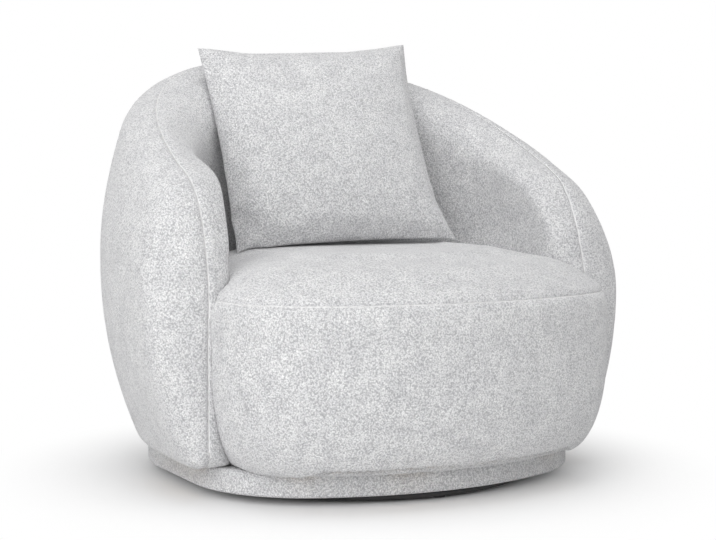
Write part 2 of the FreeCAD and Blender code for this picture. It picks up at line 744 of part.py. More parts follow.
def make_seat(shell_tool, board_tool):
    platform_top = RAIL_TOP_Z + 2 * STRAP_T + FELT_T
    cavity = d_prism(RAIL, -FIT_GAP, PLINTH_TOP - TOOL_OVER, platform_top - PLINTH_TOP + TOOL_OVER)
    inside = seat_solid(FABRIC_T)
    foam = seat_solid(FABRIC_T + SOFT_GAP).cut(shell_tool).cut(cavity).cut(board_tool)
    export(largest(foam), "seat_foam")
    skin = seat_solid(0.0).cut(inside).cut(shell_tool).cut(cavity).cut(board_tool)
    above_seam = slab_above(SEAT_SEAM_Z)
    export(largest(skin.common(above_seam)), "seat_top_cover")
    export(largest(skin.cut(above_seam)), "seat_band_cover")

    height = RAIL_TOP_Z - BODY_BOARD_TOP
    walls = d_band(RAIL, 0, RAIL_T, BODY_BOARD_TOP, height)
    wide = 2 * RAIL_HALF_W
    front_box = Part.makeBox(wide, wide, height, Vector(-wide / 2, RAIL_FRONT_JOINT - wide, BODY_BOARD_TOP))
    back_box = Part.makeBox(wide, wide, height, Vector(-wide / 2, RAIL_BACK_JOINT, BODY_BOARD_TOP))
    export(walls.common(front_box), "seat_front_rail")
    export(walls.common(back_box), "seat_rear_rail")
    export(group(walls.cut(front_box).cut(back_box).Solids), "seat_side_rails")

    blocks = []
    inner = RAIL_HALF_W - RAIL_T
    for sx in (-1, 1):
        for y, sy in ((RAIL_FRONT_JOINT, 1), (RAIL_BACK_JOINT, -1)):
            a = Vector(sx * inner, y, BODY_BOARD_TOP)
            b = Vector(sx * inner, y + sy * BLOCK_LEG, BODY_BOARD_TOP)
            c = Vector(sx * (inner - BLOCK_SHORT_LEG), y, BODY_BOARD_TOP)
            block = Part.Face(Part.makePolygon([a, b, c, a])).extrude(UP * BLOCK_H)
            blocks.append(largest(block.cut(walls)))
    export(group(blocks), "corner_blocks")

    long_straps = []
    reach = d_prism(RAIL, STRAP_INSET, RAIL_TOP_Z, STRAP_T)
    for i in range(LONG_STRAPS):
        x = (i - (LONG_STRAPS - 1) / 2) * (2 * inner - SEAT_STRAP_W) / LONG_STRAPS
        start = Vector(x - SEAT_STRAP_W / 2, -wide, RAIL_TOP_Z)
        strip = Part.makeBox(SEAT_STRAP_W, 2 * wide, STRAP_T, start)
        long_straps.append(strip.common(reach))
    export(group(long_straps), "seat_straps_lengthwise")
    cross_straps = []
    shelf = RAIL_TOP_Z + STRAP_T
    reach = d_prism(RAIL, STRAP_INSET, shelf, STRAP_T)
    span = RAIL_BACK_JOINT - RAIL_FRONT_JOINT
    for i in range(CROSS_STRAPS):
        y = RAIL_FRONT_JOINT + span * (i + 0.5) / CROSS_STRAPS
        start = Vector(-wide, y - SEAT_STRAP_W / 2, shelf)
        strip = Part.makeBox(2 * wide, SEAT_STRAP_W, STRAP_T, start)
        cross_straps.append(strip.common(reach))
    export(group(cross_straps), "seat_straps_crosswise")
    export(d_prism(RAIL, 0, RAIL_TOP_Z + 2 * STRAP_T, FELT_T), "seat_felt")


# Scatter cushion: knife-edged, with pointed corners and drawn-in seams

def cushion_outline(corner, edge, t):
    """Four arcs through the corners and the middles of the sides, at thickness t."""
    c, m = corner, edge
    corners = [Vector(-c, t, -c), Vector(c, t, -c), Vector(c, t, c), Vector(-c, t, c)]
    middles = [Vector(0, t, -m), Vector(m, t, 0), Vector(0, t, m), Vector(-m, t, 0)]
    edges = [arc(corners[i], middles[i], corners[(i + 1) % 4]) for i in range(4)]
    return Part.Wire(edges)


def cushion_half(side, inset):
    """Half of the cushion, from the seam out to its crown."""
    half = CUSHION_EDGE / 2 - inset * 2
    thick = CUSHION_HALF_T - inset
    drawn = half - CUSHION_DRAW
    wires = []
    for i in range(CUSHION_STEPS + 1):
        turn = math.radians(CUSHION_CROWN_END * i / CUSHION_STEPS)
        shrink = math.cos(turn) ** CUSHION_FULLNESS
        rounding = math.sin(turn) ** CUSHION_CORNER_FADE
        pointed = half * shrink
        round_corner = drawn * shrink * CUSHION_CORNER_SHARE
        corner = pointed + (round_corner - pointed) * rounding
        wires.append(cushion_outline(corner, drawn * shrink, side * thick * math.sin(turn)))
    return loft(wires)


def cushion_solid(inset):
    return cushion_half(-1, inset).fuse(cushion_half(1, inset)).removeSplitter()


def lay_cushion(shape):
    shape.rotate(Vector(0, 0, 0), Vector(0, 1, 0), -CUSHION_ROLL)
    shape.rotate(Vector(0, 0, 0), Vector(1, 0, 0), -CUSHION_LEAN)
    shape.rotate(Vector(0, 0, 0), UP, CUSHION_TURN)
    shape.translate(CUSHION_POS)
    return shape


def make_cushion():
    cover = cushion_solid(0.0)
    fill = cushion_solid(FABRIC_T)
    zip_z = -(CUSHION_EDGE / 2 - CUSHION_DRAW) + ZIP_INSET
    zipper = Part.makeBox(ZIP_LEN, ZIP_T, ZIP_W, Vector(-ZIP_LEN / 2, -ZIP_T / 2, zip_z))
    skin = cover.cut(fill).cut(zipper)
    export(lay_cushion(largest(skin)), "cushion_cover")
    export(lay_cushion(cushion_solid(FABRIC_T + SOFT_GAP).cut(zipper)), "cushion_filling")
    export(lay_cushion(zipper), "cushion_zip")


make_base()
make_bearing()
make_plinth(board_prism(PLINTH_TOP, BODY_BOARD_T))
board_cutter = board_prism(PLINTH_TOP - TOOL_OVER, BODY_BOARD_T + TOOL_OVER)
make_shell(board_cutter)
make_seat(shell_solid(-RUN_GAP), board_cutter)
make_cushion()
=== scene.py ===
import json
import math

import bmesh
import bpy
from mathutils import Matrix, Vector, kdtree, noise
from mathutils.bvhtree import BVHTree


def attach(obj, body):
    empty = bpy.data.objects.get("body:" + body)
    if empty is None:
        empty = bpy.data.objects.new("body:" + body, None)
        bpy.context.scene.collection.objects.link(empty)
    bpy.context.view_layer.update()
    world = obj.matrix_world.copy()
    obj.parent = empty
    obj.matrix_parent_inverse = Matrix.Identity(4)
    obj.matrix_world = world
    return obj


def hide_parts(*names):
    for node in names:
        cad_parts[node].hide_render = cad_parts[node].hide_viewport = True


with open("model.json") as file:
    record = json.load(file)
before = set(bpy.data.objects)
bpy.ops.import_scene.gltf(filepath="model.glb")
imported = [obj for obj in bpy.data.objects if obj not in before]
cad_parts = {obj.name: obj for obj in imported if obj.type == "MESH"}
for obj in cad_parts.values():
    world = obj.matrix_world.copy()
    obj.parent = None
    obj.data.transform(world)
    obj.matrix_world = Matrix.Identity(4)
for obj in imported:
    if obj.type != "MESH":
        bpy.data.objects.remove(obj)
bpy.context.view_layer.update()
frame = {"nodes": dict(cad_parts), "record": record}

# Swivel tub chair in looped fabric. Metres, +Z up, the chair's front faces -Y.

MM = 0.001
PHOTO_WIDTH = 716
SENSOR_WIDTH = 36.0

# Camera, at the photograph's viewing angle
CAMERA_PLACE = Vector((-1.3326, -2.5655, 0.5629))
CAMERA_TURN = -27.53          # degrees about Z
CAMERA_PITCH = -3.97          # degrees below level
FOCAL_PIXELS = 1584.6

# Light: broad soft lamps at the front left, overhead, in front and low at the left
WORLD_LIGHT = 0.33
AIM = Vector((0, 0, 0.4))
LAMPS = {
    "key_lamp": (Vector((-2.3, -2.4, 2.1)), 2.6, 58.0),
    "top_lamp": (Vector((0, -0.2, 3.4)), 2.6, 44.0),
    "front_lamp": (Vector((-0.5, -3.4, 1.6)), 2.4, 20.0),
    "left_lamp": (Vector((-3.2, -0.6, 0.9)), 1.8, 16.0),
}

# Foam, and the forms that carry the fabric
WELD = 0.01 * MM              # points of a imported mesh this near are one
REFINE_ROUNDS = 5
SHELL_VOXEL = 6.0 * MM
SEAT_VOXEL = 5.0 * MM
CORE_CELL = 25.0 * MM         # longest edge of the foam's mesh
CORE_INSET = 2.5 * MM         # how far the foam is drawn in
FABRIC_FILL = 0.9
FABRIC_T = 2.2 * MM
OVER_FOAM = 3.6 * MM          # from the foam to just outside the fabric
SNAP_REACH = 7.0 * MM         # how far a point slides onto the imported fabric's face
HOLLOW_REACH = 0.1            # a face that looks at its own piece this near lies in a hollow
CEILING_Z = 0.2               # faces above this that look down lie in a hollow
CEILING_TILT = -0.7           # upward part of the normal of a face that looks down
PLINTH_CELL = 14.0 * MM       # longest edge of the plinth cover's mesh

# Seams, and the unevenness of stretched fabric
SEAM_SLIDES = 6               # rounds that bring a point onto the seam
SEAM_DEPTH = 1.5 * MM
SEAM_WIDTH = 5.0 * MM
SEAM_SWELL = 1.2 * MM         # how the padding swells beside a seam
SWELL_WIDTH = 4 * SEAM_WIDTH
SEAM_REACH = 8 * SEAM_WIDTH   # a seam moves nothing beyond this
PUCKER = 1.0 * MM             # unevenness along a seam
PUCKER_LENGTH = 0.018
SWAY = 0.9 * MM               # broad unevenness
SWAY_LENGTH = 0.11
DIMPLE = 0.35 * MM            # finer unevenness
DIMPLE_LENGTH = 0.035

# Inner lip of the arms
LIP_PLACE = Vector((0.318, -0.06, 0.525))       # fullest spot
LIP_REACH = Vector((0.040, 0.085, 0.055))
LIP_FULL = Vector((-0.019, 0, 0.011))           # how far the lip swells there
LIP_LIMIT = 9.0               # squared reach beyond which the lip stays as packed

# Seat
UNDERSIDE_BACK = -0.215       # the seat's underside is drawn down in front of this
UNDERSIDE_GROW = Vector((1.06, 1.13))
UNDERSIDE_Z = 0.0607
UNDERSIDE_TOP = 0.085
DENT_PLACE = Vector((-0.240, 0.015, 0.4))       # where the cushion's low corner stands
DENT_REACH = Vector((0.065, 0.090))
DENT_DEPTH = 14.0 * MM
SEAT_SIDE_Z = 0.34            # the crown lies above this

# Scatter cushion, as it leans on the back
CUSHION_HALF = 0.220
CUSHION_DRAW = 0.024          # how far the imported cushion's seams draw in between corners
SEAM_DRAWS = {"left": 0.009, "right": 0.020, "top": 0.020, "bottom": 0.014}
CUSHION_PLACE = Vector((-0.007, 0.1155, 0.6084))
CUSHION_LEAN = 26.4
CUSHION_TURN = -6.4
CUSHION_ROLL = 2.7
CUSHION_CELLS = 84
CUSHION_START = 0.93          # thickness before it is filled, as a share of the final one
CUSHION_SEARCH = 0.2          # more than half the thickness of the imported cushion
CUSHION_WELD = 0.1 * MM
CUSHION_FILL = 0.8
FILL_PRESSURE = 4.0
FILL_CAP = 6.0 * MM           # no point moves further while the cushion is filled
FILL_FRAMES = 20
# Creases of its front: start across and up, end across and up, as shares of half its
# width, then depth and width
CUSHION_CREASES = (
    (-0.93, -0.62, -0.70, -0.86, 0.009, 0.07),
    (-0.98, -0.20, -0.90, -0.70, 0.010, 0.10),
    (0.99, -0.50, 0.80, -0.68, 0.006, 0.06),
    (0.98, -0.28, 0.86, -0.42, 0.005, 0.06),
    (-0.55, 0.93, -0.30, 0.80, 0.004, 0.09),
    (0.40, 0.95, 0.25, 0.78, 0.003, 0.08),
)
CREASE_FADE = 0.7             # how much of a crease's depth is lost at its end
FRONT_LIMIT = 0.01            # points further back than this are left out of the creases
# Corners pulled out of place: across, up, reach, and the move
CUSHION_CORNERS = (
    (-1.0, -1.0, 0.32, Vector((0.010, 0.022, -0.010))),
    (1.0, -1.0, 0.30, Vector((0.006, 0, 0.002))),
    (-1.0, 1.0, 0.10, Vector((0.003, 0, -0.004))),
    (1.0, 1.0, 0.10, Vector((-0.003, 0, -0.004))),
)
CUSHION_SETTLE = Vector((0, -0.004, -0.0155))   # how it sinks down on its lower edge
PRESS_SPAN = 9.0 * MM         # height over which the sunk edge spreads flat on the seat
PRESS_ABOVE = 0.15            # the seat is looked for from this far above a point
PRESS_SEARCH = 0.3

# Stage
FLOOR_SIZE = 16.0
FLOOR_NEAR = 0.28             # the floor shows its own shade up to here, with the shadow
FLOOR_FAR = 0.70              # and is white from here on


# Object handling

def select_only(obj):
    bpy.ops.object.select_all(action="DESELECT")
    obj.select_set(True)
    bpy.context.view_layer.objects.active = obj


def new_object(name, bm):
    """A mesh object at the origin made from bm."""
    mesh = bpy.data.meshes.new(name)
    bm.to_mesh(mesh)
    bm.free()
    obj = bpy.data.objects.new(name, mesh)
    bpy.context.scene.collection.objects.link(obj)
    return obj


def apply_modifier(obj, kind, **settings):
    select_only(obj)
    modifier = obj.modifiers.new(kind.title(), kind)
    for name, value in settings.items():
        setattr(modifier, name, value)
    bpy.ops.object.modifier_apply(modifier=modifier.name)


def smooth(obj):
    select_only(obj)
    bpy.ops.object.shade_smooth()


def surface_of(*nodes):
    """Search tree over CAD nodes."""
    bm = bmesh.new()
    for node in nodes:
        bm.from_mesh(frame["nodes"][node].data)
    tree = BVHTree.FromBMesh(bm)
    bm.free()
    return tree


def packed_mesh(node):
    """A CAD node's mesh with its loose triangles joined."""
    bm = bmesh.new()
    bm.from_mesh(frame["nodes"][node].data)
    bmesh.ops.remove_doubles(bm, verts=bm.verts, dist=WELD)
    return bm


def refine(bm, cell):
    """Divides the edges longer than cell, leaving triangles."""
    bmesh.ops.triangulate(bm, faces=bm.faces)
    for step in range(REFINE_ROUNDS):
        wide = [edge for edge in bm.edges if edge.calc_length() > cell]
        bmesh.ops.subdivide_edges(bm, edges=wide, cuts=1)
        bmesh.ops.triangulate(bm, faces=bm.faces)


# Forms of the upholstery

def closed_form(node, name, voxel, more=None):
    """Copy of a foam node with its inner hollow closed off, in even quads. The mesh more,
    where there is one, is joined to it."""
    bm = packed_mesh(node)
    tree = BVHTree.FromBMesh(bm)
    hollow = []
    for face in bm.faces:
        centre = face.calc_center_median()
        hit = tree.ray_cast(centre + face.normal * MM, face.normal, HOLLOW_REACH)
        looks_down = face.normal.z < CEILING_TILT and centre.z > CEILING_Z
        if hit[0] is not None or looks_down:
            hollow.append(face)
    bmesh.ops.delete(bm, geom=hollow, context="FACES")
    rims = [edge for edge in bm.edges if edge.is_boundary]
    bmesh.ops.holes_fill(bm, edges=rims, sides=0)
    bmesh.ops.recalc_face_normals(bm, faces=bm.faces)
    if more is not None:
        bm.from_mesh(more)
        bmesh.ops.recalc_face_normals(bm, faces=bm.faces)
    form = new_object(name, bm)
    apply_modifier(form, "REMESH", mode="VOXEL", voxel_size=voxel)
    return form


def lay_on(form, *covers):
    """Slides the points of a foam form out onto the outer face of its packed covers."""
    tree = surface_of(*covers)
    lifted = [vertex.co + vertex.normal * OVER_FOAM for vertex in form.data.vertices]
    for vertex, point in zip(form.data.vertices, lifted):
        place, normal, index, distance = tree.find_nearest(point)
        vertex.co = place if distance < SNAP_REACH else point


def swell_lips(form):
    """Fuller padding on the inner lip of both arms, in front of the cushion."""
    for vertex in form.data.vertices:
        side = -1.0 if vertex.co.x < 0 else 1.0
        away = Vector((abs(vertex.co.x), vertex.co.y, vertex.co.z)) - LIP_PLACE
        spread = sum((away[i] / LIP_REACH[i]) ** 2 for i in range(3))
        if spread < LIP_LIMIT:
            swell = LIP_FULL * math.exp(-spread)
            vertex.co += Vector((swell.x * side, swell.y, swell.z))


def seat_underside():
    """The front part of the board under the seat, grown out to where the fabric is pulled."""
    board = packed_mesh("body_board")
    bmesh.ops.bisect_plane(board, geom=board.verts[:] + board.edges[:] + board.faces[:],
                           plane_co=(0, UNDERSIDE_BACK, 0), plane_no=(0, 1, 0),
                           clear_outer=True)
    rims = [edge for edge in board.edges if edge.is_boundary]
    bmesh.ops.holes_fill(board, edges=rims, sides=0)
    middle = sum(vertex.co.z for vertex in board.verts) / len(board.verts)
    for vertex in board.verts:
        vertex.co.x *= UNDERSIDE_GROW.x
        vertex.co.y = UNDERSIDE_BACK + (vertex.co.y - UNDERSIDE_BACK) * UNDERSIDE_GROW.y
        vertex.co.z = UNDERSIDE_Z if vertex.co.z < middle else UNDERSIDE_TOP
    mesh = bpy.data.meshes.new("seat_underside")
    board.to_mesh(mesh)
    board.free()
    return mesh


def dent_seat(form):
    """Presses the seat's back corner in, where the cushion's low corner stands on it."""
    for vertex in form.data.vertices:
        away = vertex.co - DENT_PLACE
        if vertex.co.z > SEAT_SIDE_Z:
            spread = (away.x / DENT_REACH.x) ** 2 + (away.y / DENT_REACH.y) ** 2
            vertex.co.z -= DENT_DEPTH * math.exp(-spread)


def make_core(node, name, shape=None):
    """The foam under the fabric, drawn in a little so that it clears the seams."""
    bm = packed_mesh(node)
    refine(bm, CORE_CELL)
    bm.normal_update()
    inward = [vertex.co - vertex.normal * CORE_INSET for vertex in bm.verts]
    for vertex, point in zip(bm.verts, inward):
        vertex.co = point
    core = new_object(name, bm)
    if shape is not None:
        shape(core)
    smooth(core)
    core.data.materials.append(bpy.data.materials["cut_foam"])
    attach(core, "chair")
    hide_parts(node)


def fill_out(obj):
    """Fills a closed fabric form: cloth under pressure, its points moving no further than
    the cap."""
    select_only(obj)
    start = [vertex.co.copy() for vertex in obj.data.vertices]
    modifier = obj.modifiers.new("Cloth", "CLOTH")
    cloth = modifier.settings
    cloth.quality = 4
    cloth.mass = 0.4
    cloth.tension_stiffness = 12
    cloth.compression_stiffness = 12
    cloth.shear_stiffness = 6
    cloth.bending_stiffness = 1.5
    cloth.use_pressure = True
    cloth.uniform_pressure_force = FILL_PRESSURE
    cloth.effector_weights.gravity = 0
    modifier.collision_settings.use_collision = False
    modifier.point_cache.frame_start = 1
    modifier.point_cache.frame_end = FILL_FRAMES
    scene = bpy.context.scene
    for number in range(1, FILL_FRAMES + 1):
        scene.frame_set(number)
    filled = obj.evaluated_get(bpy.context.evaluated_depsgraph_get()).data
    ends = [vertex.co.copy() for vertex in filled.vertices]
    obj.modifiers.remove(modifier)
    scene.frame_set(1)
    for vertex, before, after in zip(obj.data.vertices, start, ends):
        move = after - before
        if move.length > FILL_CAP:
            move *= FILL_CAP / move.length
        vertex.co = before + move


def mark_sides(form, first, second):
    """Marks the faces that belong to the first cover in the face attribute first_cover. The
    points between the two are slid onto the seam, and the point attribute seam is 1 on
    them."""
    trees = surface_of(first), surface_of(second)
    mesh = form.data
    bm = bmesh.new()
    bm.from_mesh(mesh)
    bm.normal_update()
    side = bm.faces.layers.int.new("first_cover")
    seam = bm.verts.layers.float.new("seam")
    for face in bm.faces:
        centre = face.calc_center_median()
        near = [tree.find_nearest(centre)[3] for tree in trees]
        face[side] = 1 if near[0] <= near[1] else 0
    for vertex in bm.verts:
        kinds = {face[side] for face in vertex.link_faces}
        if len(kinds) < 2:
            continue
        vertex[seam] = 1.0
        point = vertex.co.copy()
        for step in range(SEAM_SLIDES):
            found = [tree.find_nearest(point)[0] for tree in trees]
            point = (found[0] + found[1]) / 2
        slide = point - vertex.co
        slide -= vertex.normal * slide.dot(vertex.normal)
        if slide.length < 2 * SHELL_VOXEL:
            vertex.co += slide
    bm.to_mesh(mesh)
    bm.free()


def relief(obj, seed):
    """Seam groove with puckers, and the broad unevenness of stretched fabric."""
    mesh = obj.data
    seam = mesh.attributes["seam"].data
    marked = [vertex.co.copy() for vertex in mesh.vertices if seam[vertex.index].value > 0.5]
    lookup = kdtree.KDTree(len(marked))
    for number, point in enumerate(marked):
        lookup.insert(point, number)
    lookup.balance()
    shift = Vector((seed * 3.1, seed * 1.7, seed * 2.3))
    moves = []
    for vertex in mesh.vertices:
        point = vertex.co
        out = SWAY * noise.noise(point / SWAY_LENGTH + shift)
        out += DIMPLE * noise.noise(point / DIMPLE_LENGTH + shift)
        distance = lookup.find(point)[2]
        if distance < SEAM_REACH:
            near = math.exp(-(distance / SEAM_WIDTH) ** 2)
            around = math.exp(-(distance / SWELL_WIDTH) ** 2)
            out += SEAM_SWELL * around - (SEAM_DEPTH + SEAM_SWELL) * near
            out += PUCKER * around * noise.noise(point / PUCKER_LENGTH + shift)
        moves.append(vertex.normal * out)
    for vertex, move in zip(mesh.vertices, moves):
        vertex.co = vertex.co + move


def cut_cover(form, name, keep):
    """One of the two covers of a form, as closed fabric of its real thickness."""
    bm = bmesh.new()
    bm.from_mesh(form.data)
    side = bm.faces.layers.int["first_cover"]
    drop = [face for face in bm.faces if face[side] != keep]
    bmesh.ops.delete(bm, geom=drop, context="FACES")
    cover = new_object(name, bm)
    apply_modifier(cover, "SOLIDIFY", thickness=FABRIC_T, offset=-1.0)
    smooth(cover)
    return cover


def finish_piece(obj, body, material, *nodes, fill=FABRIC_FILL):
    """Covers a soft piece, sets which body it rides and hides the nodes it stands for."""
    obj.data.materials.clear()
    obj.data.materials.append(material)
    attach(obj, body)
    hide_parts(*nodes)


# Materials

def shade(hex_colour):
    """Linear colour of an sRGB hex value."""
    channels = []
    for i in (0, 2, 4):
        value = int(hex_colour[i:i + 2], 16) / 255
        channels.append(value / 12.92 if value <= 0.04045 else ((value + 0.055) / 1.055) ** 2.4)
    return (*channels, 1.0)


def add(tree, kind, inputs=None, **settings):
    """Adds a node with its settings, and fills its inputs with values or links."""
    node = tree.nodes.new(kind)
    for name, value in settings.items():
        setattr(node, name, value)
    for key, value in (inputs or {}).items():
        if isinstance(value, bpy.types.NodeSocket):
            tree.links.new(value, node.inputs[key])
        else:
            node.inputs[key].default_value = value
    return node


def start_material(name):
    """A new material with its shader and the object's own coordinates."""
    material = bpy.data.materials.new(name)
    material.use_nodes = True
    tree = material.node_tree
    tree.nodes.clear()
    shader = add(tree, "ShaderNodeBsdfPrincipled")
    add(tree, "ShaderNodeOutputMaterial", {"Surface": shader.outputs["BSDF"]})
    place = add(tree, "ShaderNodeTexCoord").outputs["Object"]
    return material, tree, shader, place


def finish_surface(tree, shader, colour, height, strength, distance, rough):
    """Gives the shader its colour, its relief from a height and its roughness."""
    bump = add(tree, "ShaderNodeBump", {"Strength": strength, "Distance": distance,
                                        "Height": height})
    tree.links.new(colour, shader.inputs["Base Color"])
    tree.links.new(bump.outputs["Normal"], shader.inputs["Normal"])
    shader.inputs["Roughness"].default_value = rough


def seen_directly(tree):
    """1 where a ray comes from the camera, or by way of metal or glass."""
    ray = add(tree, "ShaderNodeLightPath").outputs
    seen = add(tree, "ShaderNodeMath", {0: ray["Is Camera Ray"], 1: ray["Is Glossy Ray"]},
               operation="MAXIMUM")
    seen = add(tree, "ShaderNodeMath", {0: seen.outputs[0], 1: ray["Is Transmission Ray"]},
               operation="MAXIMUM")
    return seen.outputs[0]


def two_tones(tree, factor, low, high, start=0.0, end=1.0):
    """Colour between two hex tones as factor goes from start to end."""
    part = add(tree, "ShaderNodeMapRange", {"Value": factor, "From Min": start, "From Max": end})
    mix = add(tree, "ShaderNodeMix", {"Factor": part.outputs["Result"], "A": shade(low),
                                      "B": shade(high)}, data_type="RGBA")
    return mix.outputs["Result"]


def looped_boucle():
    """Boucle: knitted cloth of looped, curled yarn. Curls about 2.4 mm across stand up as
    small soft grains, with painted shade in the pits between them, and the loops are matt with
    a faint bloom. The seam's line is smoother and carries a painted highlight in a light tone."""
    material, tree, shader, place = start_material("looped_boucle")
    curl = 1 / 0.0024
    yarn = 1 / 0.0012
    patch = 1 / 0.028
    wander = 0.0035               # how far a curl strays from an even grid
    bend = add(tree, "ShaderNodeTexNoise", {"Vector": place, "Scale": 1 / 0.005, "Detail": 1.0})
    warp = add(tree, "ShaderNodeVectorMath", {0: bend.outputs["Color"], 1: (0.5, 0.5, 0.5)},
               operation="SUBTRACT")
    bent = add(tree, "ShaderNodeVectorMath", {0: warp.outputs[0], 1: (wander,) * 3, 2: place},
               operation="MULTIPLY_ADD")
    cells = add(tree, "ShaderNodeTexVoronoi", {"Vector": bent.outputs[0], "Scale": curl},
                feature="SMOOTH_F1")
    loops = add(tree, "ShaderNodeTexNoise", {"Vector": bent.outputs[0], "Scale": yarn,
                                             "Detail": 2.0})
    patches = add(tree, "ShaderNodeTexNoise", {"Vector": place, "Scale": patch, "Detail": 2.0})
    grains = add(tree, "ShaderNodeMath", {0: 1.0, 1: cells.outputs["Distance"]},
                 operation="SUBTRACT")
    height = add(tree, "ShaderNodeMath", {0: loops.outputs["Fac"], 1: 0.5, 2: grains.outputs[0]},
                 operation="MULTIPLY_ADD")
    # Painted highlight: along the seam the cloth is painted a light F4F4F4 in place of the curls'
    # tone.
    seam = add(tree, "ShaderNodeAttribute", attribute_name="seam")
    line = add(tree, "ShaderNodeMapRange", {"Value": seam.outputs["Fac"], "From Min": 0.55,
                                            "From Max": 0.9}, interpolation_type="SMOOTHSTEP")
    # Painted shade: the pits between the curls are painted darker (B6B6B8) and the curl tops
    # lighter, following the relief's height.
    pile_with_painted_pit_shade = two_tones(tree, height.outputs[0], "B6B6B8", "FDFDFD", 0.62, 1.18)
    tone = two_tones(tree, patches.outputs["Fac"], "F2F2F3", "FFFFFF", 0.35, 0.65)
    body = add(tree, "ShaderNodeMix", {"Factor": 1.0, "A": pile_with_painted_pit_shade, "B": tone}, data_type="RGBA",
               blend_type="MULTIPLY")
    cloth = add(tree, "ShaderNodeMix", {"Factor": line.outputs["Result"],
                                        "A": body.outputs["Result"], "B": shade("F4F4F4")},
                data_type="RGBA")
    finish_surface(tree, shader, cloth.outputs["Result"], height.outputs[0], 0.75, 0.0022, 0.95)
    shader.inputs["Specular IOR Level"].default_value = 0.15
    shader.inputs["Sheen Weight"].default_value = 0.6
    shader.inputs["Sheen Roughness"].default_value = 0.4
    return material


def black_powder_coat():
    """Polyester powder coat on steel: satin black with a fine orange-peel skin."""
    material, tree, shader, place = start_material("black_powder_coat")
    peel = add(tree, "ShaderNodeTexNoise", {"Vector": place, "Scale": 1 / 0.0015, "Detail": 1.0})
    dust = add(tree, "ShaderNodeTexNoise", {"Vector": place, "Scale": 1 / 0.03, "Detail": 3.0})
    colour = two_tones(tree, dust.outputs["Fac"], "1B1B1C", "262627", 0.3, 0.7)
    finish_surface(tree, shader, colour, peel.outputs["Fac"], 0.2, 0.0002, 0.42)
    return material


def turned_metal(name, low, high, rough):
    """Metal with fine turning marks and the soft blotches of handling."""
    material, tree, shader, place = start_material(name)
    marks = add(tree, "ShaderNodeTexWave", {"Vector": place, "Scale": 1 / 0.004, "Distortion": 0.6},
                wave_type="RINGS", rings_direction="Z")
    blotch = add(tree, "ShaderNodeTexNoise", {"Vector": place, "Scale": 1 / 0.02, "Detail": 3.0})
    colour = two_tones(tree, blotch.outputs["Fac"], low, high, 0.3, 0.7)
    finish_surface(tree, shader, colour, marks.outputs["Fac"], 0.15, 0.0001, rough)
    shader.inputs["Metallic"].default_value = 1.0
    return material


def moulded_nylon():
    """Moulded black nylon: slightly waxy, with a fine spark-eroded grain."""
    material, tree, shader, place = start_material("moulded_nylon")
    grain = add(tree, "ShaderNodeTexNoise", {"Vector": place, "Scale": 1 / 0.0008, "Detail": 2.0})
    colour = two_tones(tree, grain.outputs["Fac"], "151515", "202020", 0.3, 0.7)
    finish_surface(tree, shader, colour, grain.outputs["Fac"], 0.3, 0.0001, 0.5)
    return material


def birch_plywood():
    """Birch plywood: 1.5 mm plies show as light and dark lines on the edge, fine grain on top."""
    material, tree, shader, place = start_material("birch_plywood")
    plies = add(tree, "ShaderNodeTexWave", {"Vector": place, "Scale": 1 / 0.0094,
                                            "Distortion": 0.4}, bands_direction="Z")
    stretch = add(tree, "ShaderNodeMapping", {"Vector": place, "Scale": (1.0, 14.0, 1.0)})
    grain = add(tree, "ShaderNodeTexNoise", {"Vector": stretch.outputs[0], "Scale": 1 / 0.03,
                                             "Detail": 5.0})
    blend = add(tree, "ShaderNodeMath", {0: plies.outputs["Fac"], 1: 0.4, 2: grain.outputs["Fac"]},
                operation="MULTIPLY_ADD")
    colour = two_tones(tree, blend.outputs[0], "B58C5A", "DDBE8E", 0.4, 1.0)
    finish_surface(tree, shader, colour, blend.outputs[0], 0.2, 0.0003, 0.6)
    return material


def sawn_pine():
    """Sawn pine: growth rings 3 mm apart, stretched along the board, on a rough face."""
    material, tree, shader, place = start_material("sawn_pine")
    rings = add(tree, "ShaderNodeTexWave", {"Vector": place, "Scale": 1 / 0.019, "Distortion": 4.0,
                                            "Detail": 2.0, "Detail Scale": 1.0},
                bands_direction="DIAGONAL")
    saw = add(tree, "ShaderNodeTexNoise", {"Vector": place, "Scale": 1 / 0.002, "Detail": 2.0})
    colour = two_tones(tree, rings.outputs["Fac"], "C39A63", "E2C394")
    finish_surface(tree, shader, colour, saw.outputs["Fac"], 0.4, 0.0003, 0.75)
    return material


def pressed_hardboard():
    """Hardboard: pressed brown fibre, smooth, with darker flecks."""
    material, tree, shader, place = start_material("pressed_hardboard")
    flecks = add(tree, "ShaderNodeTexNoise", {"Vector": place, "Scale": 1 / 0.003, "Detail": 5.0})
    colour = two_tones(tree, flecks.outputs["Fac"], "5E4129", "86623F", 0.35, 0.65)
    finish_surface(tree, shader, colour, flecks.outputs["Fac"], 0.2, 0.0002, 0.55)
    return material


def cut_foam():
    """Cut polyurethane foam: open cells about 1 mm across, here drawn at 2 mm to show."""
    material, tree, shader, place = start_material("cut_foam")
    cells = add(tree, "ShaderNodeTexVoronoi", {"Vector": place, "Scale": 1 / 0.002})
    colour = two_tones(tree, cells.outputs["Distance"], "F1E8C9", "D8C99A")
    finish_surface(tree, shader, colour, cells.outputs[0], 0.5, 0.0006, 0.95)
    return material


def woven_webbing():
    """Elastic webbing: black polypropylene tape with rubber cords woven in at 3 mm."""
    material, tree, shader, place = start_material("woven_webbing")
    ribs = add(tree, "ShaderNodeTexWave", {"Vector": place, "Scale": 1 / 0.019, "Distortion": 0.2},
               bands_direction="X")
    picks = add(tree, "ShaderNodeTexWave", {"Vector": place, "Scale": 1 / 0.012, "Distortion": 0.2},
                bands_direction="Y")
    weave = add(tree, "ShaderNodeMath", {0: ribs.outputs["Fac"], 1: picks.outputs["Fac"]},
                operation="MULTIPLY")
    colour = two_tones(tree, weave.outputs[0], "18181A", "3A3A3D")
    finish_surface(tree, shader, colour, weave.outputs[0], 0.6, 0.0005, 0.8)
    return material


